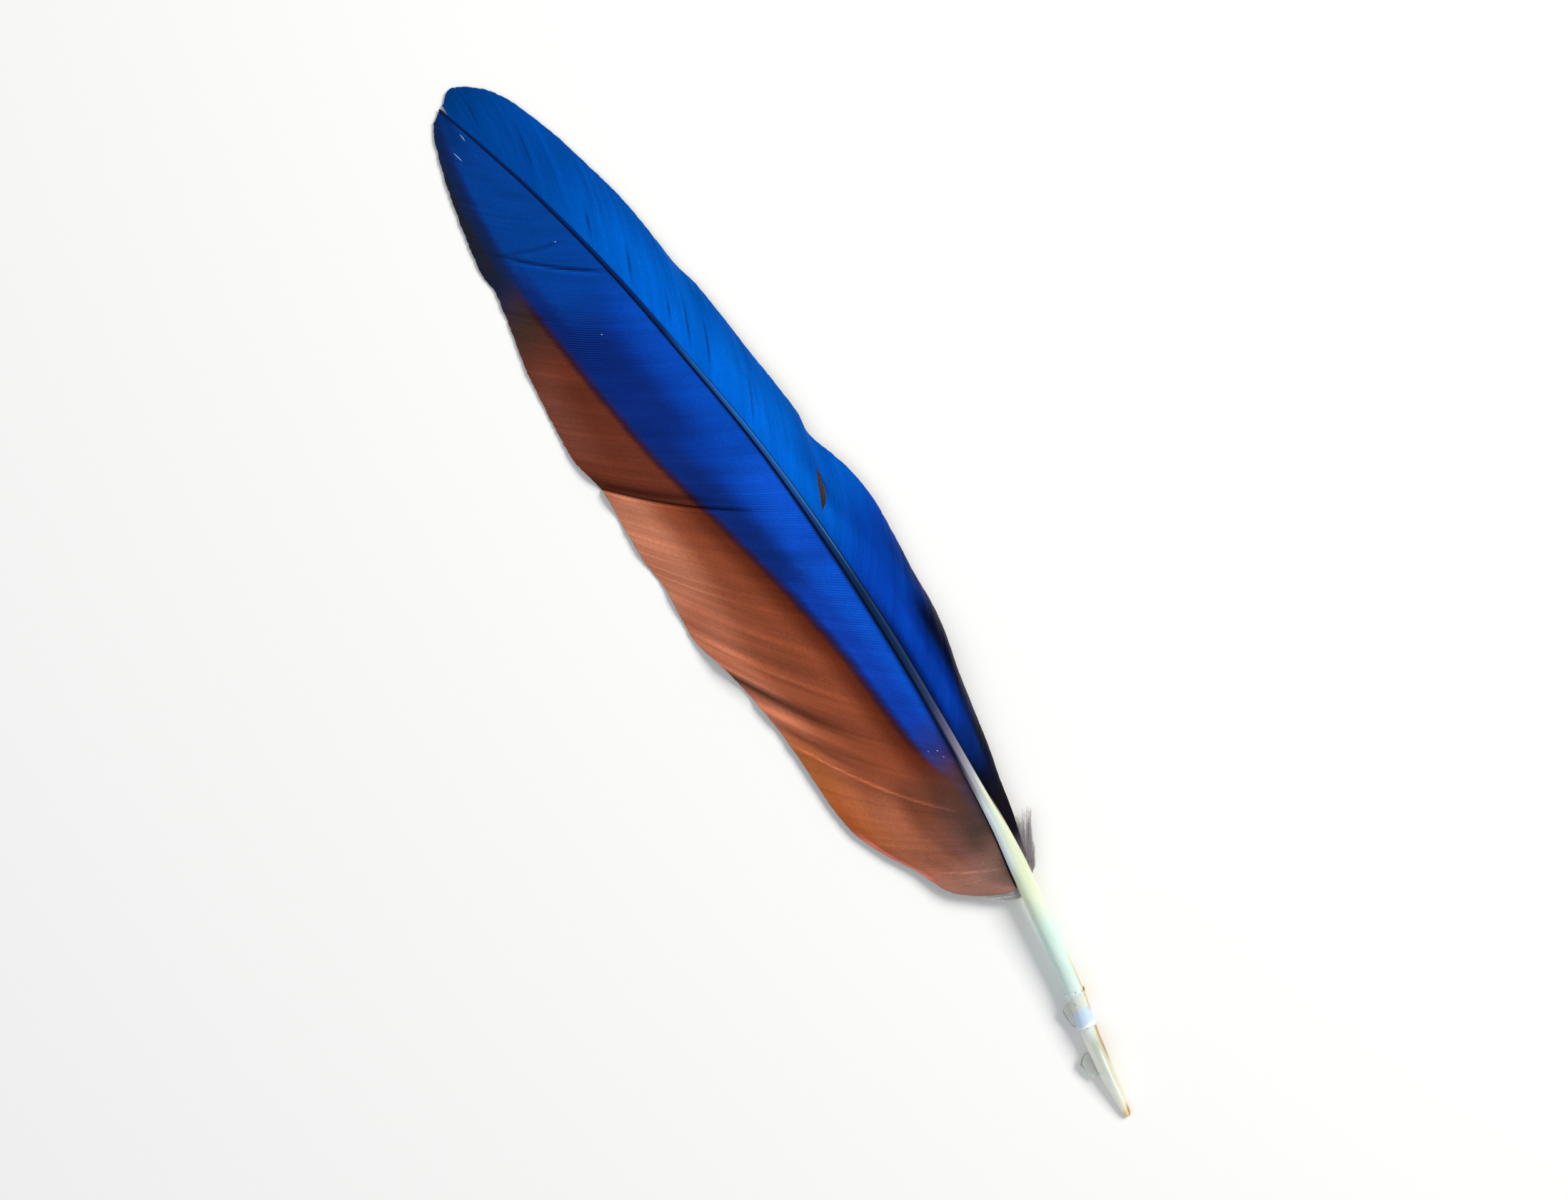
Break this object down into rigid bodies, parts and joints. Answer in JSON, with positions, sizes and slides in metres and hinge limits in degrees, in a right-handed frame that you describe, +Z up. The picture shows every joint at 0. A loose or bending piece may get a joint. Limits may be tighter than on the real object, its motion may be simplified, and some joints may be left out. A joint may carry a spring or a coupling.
{
  "type": "macaw feather",
  "caption": "Loose macaw flight feather lying upper side up: bare pale quill, bowed shaft, narrow blue outer vane, wide blue and brown inner vane.",
  "frame": {"origin": "on the surface that the feather lies on, under the middle of its length and width", "axes": "+Y from the quill's end to the tip, +X to the narrow outer vane, +Z up, out of the feather's upper side"},
  "size_m": [0.0512, 0.2749, 0.0092],
  "materials": {
    "vane": "keratin barbs, satin",
    "shaft": "solid keratin, satin, ivory at the quill",
    "sheath": "thin dry keratin, clear to milky",
    "down": "soft loose barbs, matt"
  },
  "bodies": {
    "root": {"feather": "vane"}
  },
  "joints": []
}
